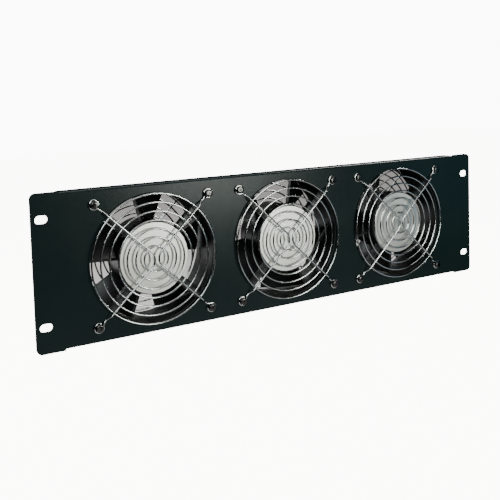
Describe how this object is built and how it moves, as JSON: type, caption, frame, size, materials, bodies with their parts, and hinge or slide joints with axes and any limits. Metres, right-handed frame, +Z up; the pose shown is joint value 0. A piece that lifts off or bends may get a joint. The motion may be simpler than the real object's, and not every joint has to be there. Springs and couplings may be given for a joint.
{
  "type": "rack fan tray",
  "caption": "Black 3U rack panel carrying a row of AC axial fans, each with chrome wire finger guards front and rear, screwed to the rack by four slots.",
  "frame": {"origin": "centre of the four rack slots, on the panel's rear face, which seats on the rack rails", "axes": "+X to the right along the panel, +Y to the rear through the panel and fans, +Z up"},
  "size_m": [0.4826, 0.0524, 0.1324],
  "materials": {
    "panel_paint": "satin",
    "cast_paint": "satin",
    "disc_metal": "satin",
    "laminations": "satin",
    "winding": "satin",
    "sintered_bronze": "matte",
    "rotor_steel": "satin",
    "ground_steel": "polished",
    "blade_plastic": "satin",
    "chrome_wire": "polished",
    "screw_steel": "polished",
    "block_plastic": "matte",
    "tinned_brass": "satin"
  },
  "bodies": {
    "panel_and_housings": {"front_panel": "panel_paint", "fan_frame_left": "cast_paint", "motor_disc_left": "disc_metal", "stator_core_left": "laminations", "stator_coils_left": "winding", "bearings_left": "sintered_bronze", "front_guard_rings_left": "chrome_wire", "front_guard_spokes_left": "chrome_wire", "rear_guard_rings_left": "chrome_wire", "rear_guard_spokes_left": "chrome_wire", "fan_screws_left": "screw_steel", "fan_nuts_left": "screw_steel", "terminal_block_left": "block_plastic", "terminal_blades_left": "tinned_brass", "fan_frame_centre": "cast_paint", "motor_disc_centre": "disc_metal", "stator_core_centre": "laminations", "stator_coils_centre": "winding", "bearings_centre": "sintered_bronze", "front_guard_rings_centre": "chrome_wire", "front_guard_spokes_centre": "chrome_wire", "rear_guard_rings_centre": "chrome_wire", "rear_guard_spokes_centre": "chrome_wire", "fan_screws_centre": "screw_steel", "fan_nuts_centre": "screw_steel", "terminal_block_centre": "block_plastic", "terminal_blades_centre": "tinned_brass", "fan_frame_right": "cast_paint", "motor_disc_right": "disc_metal", "stator_core_right": "laminations", "stator_coils_right": "winding", "bearings_right": "sintered_bronze", "front_guard_rings_right": "chrome_wire", "front_guard_spokes_right": "chrome_wire", "rear_guard_rings_right": "chrome_wire", "rear_guard_spokes_right": "chrome_wire", "fan_screws_right": "screw_steel", "fan_nuts_right": "screw_steel", "terminal_block_right": "block_plastic", "terminal_blades_right": "tinned_brass"},
    "left_rotor": {"rotor_cup_left": "rotor_steel", "impeller_left": "blade_plastic", "rotor_shaft_left": "ground_steel", "shaft_clip_left": "ground_steel"},
    "centre_rotor": {"rotor_cup_centre": "rotor_steel", "impeller_centre": "blade_plastic", "rotor_shaft_centre": "ground_steel", "shaft_clip_centre": "ground_steel"},
    "right_rotor": {"rotor_cup_right": "rotor_steel", "impeller_right": "blade_plastic", "rotor_shaft_right": "ground_steel", "shaft_clip_right": "ground_steel"}
  },
  "joints": [
    {"name": "left_fan_spin", "type": "hinge", "parent": "panel_and_housings", "child": "left_rotor", "pos_m": [-0.137, 0, 0], "axis": [0, 1, 0], "continuous": true},
    {"name": "centre_fan_spin", "type": "hinge", "parent": "panel_and_housings", "child": "centre_rotor", "pos_m": [0, 0, 0], "axis": [0, 1, 0], "continuous": true},
    {"name": "right_fan_spin", "type": "hinge", "parent": "panel_and_housings", "child": "right_rotor", "pos_m": [0.137, 0, 0], "axis": [0, 1, 0], "continuous": true}
  ]
}
